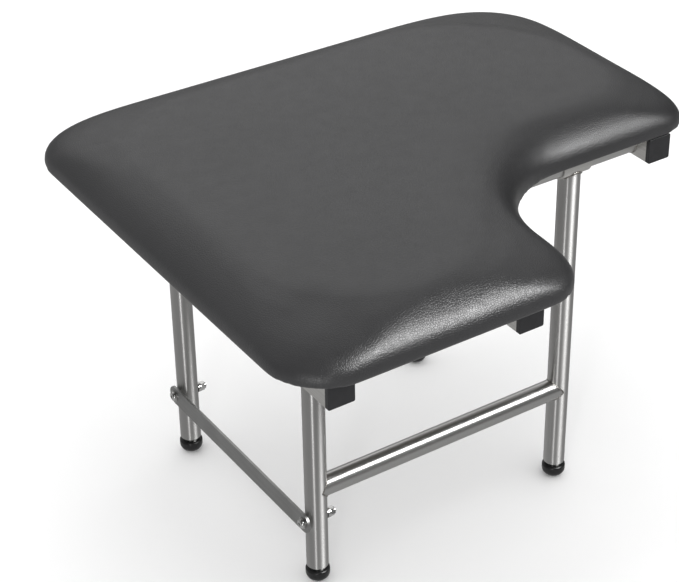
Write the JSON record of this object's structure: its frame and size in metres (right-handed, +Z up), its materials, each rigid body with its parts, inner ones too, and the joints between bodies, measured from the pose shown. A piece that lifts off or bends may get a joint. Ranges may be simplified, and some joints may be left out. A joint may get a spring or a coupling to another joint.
{
  "type": "folding shower seat",
  "caption": "L-shaped padded folding shower seat on steel legs, with a link bar that keeps the front legs upright, for fastening to a wall.",
  "frame": {"origin": "on the floor, in the middle of the seat's width and of its depth from the wall plates to the wing's front edge", "axes": "+Z up, +Y towards the wall, +X to the right when facing the wall; the wing of the L is on the -X side"},
  "size_m": [0.641, 0.5966, 0.494],
  "materials": {
    "seat_vinyl": "soft satin vinyl with a fine leather grain",
    "foam": "closed-cell foam",
    "board": "dark film-faced marine plywood",
    "rail_steel": "fine brushed stainless steel",
    "leg_steel": "satin polished stainless tube",
    "flat_bar_steel": "matt mill-finish stainless bar",
    "fasteners": "bright stainless steel",
    "black_plastic": "black moulded plastic",
    "bush_plastic": "black nylon",
    "foot_rubber": "black rubber"
  },
  "bodies": {
    "rear_frame": {"leg_rear_left": "leg_steel", "leg_rear_right": "leg_steel", "sleeve_rear_left": "rail_steel", "sleeve_rear_right": "rail_steel", "sleeve_bushes_rear": "bush_plastic", "foot_pads_rear": "foot_rubber", "foot_stems_rear": "fasteners", "foot_plugs_rear": "bush_plastic", "pivot_bolt_rear": "fasteners", "pivot_nut_rear": "fasteners", "pivot_washer_rear": "fasteners", "pivot_spacers_rear": "fasteners", "wall_plate_left": "rail_steel", "wall_plate_right": "rail_steel", "wall_stub_left": "leg_steel", "wall_stub_right": "leg_steel"},
    "seat": {"seat_cover": "seat_vinyl", "seat_foam": "foam", "seat_board": "board", "rail_left": "rail_steel", "rail_middle": "rail_steel", "rail_right": "rail_steel", "rail_caps_front": "black_plastic", "rail_caps_rear": "black_plastic", "board_screws": "fasteners", "axle_tube_front": "leg_steel", "axle_tube_rear": "leg_steel", "axle_collars_front": "rail_steel", "axle_collars_rear": "rail_steel"},
    "front_frame": {"leg_front_left": "leg_steel", "leg_front_right": "leg_steel", "sleeve_front_left": "rail_steel", "sleeve_front_right": "rail_steel", "sleeve_bushes_front": "bush_plastic", "foot_pads_front": "foot_rubber", "foot_stems_front": "fasteners", "foot_plugs_front": "bush_plastic", "pivot_bolt_front": "fasteners", "pivot_nut_front": "fasteners", "pivot_washer_front": "fasteners", "pivot_spacers_front": "fasteners", "crossbar": "leg_steel"},
    "link": {"link_bar": "flat_bar_steel"}
  },
  "joints": [
    {"name": "seat_fold", "type": "hinge", "parent": "rear_frame", "child": "seat", "pos_m": [0, 0.2283, 0.431], "axis": [-1, 0, 0], "range_deg": [0, 84]},
    {"name": "front_frame_swing", "type": "hinge", "parent": "seat", "child": "front_frame", "pos_m": [0, -0.0623, 0.431], "axis": [-1, 0, 0], "range_deg": [-84, 0]},
    {"name": "link_swing", "type": "hinge", "parent": "rear_frame", "child": "link", "pos_m": [-0.178, 0.2283, 0.0865], "axis": [-1, 0, 0], "range_deg": [0, 84]}
  ],
  "couplings": [
    {"joint": "front_frame_swing", "follows": "seat_fold", "ratio": -1},
    {"joint": "link_swing", "follows": "seat_fold", "ratio": 1}
  ]
}
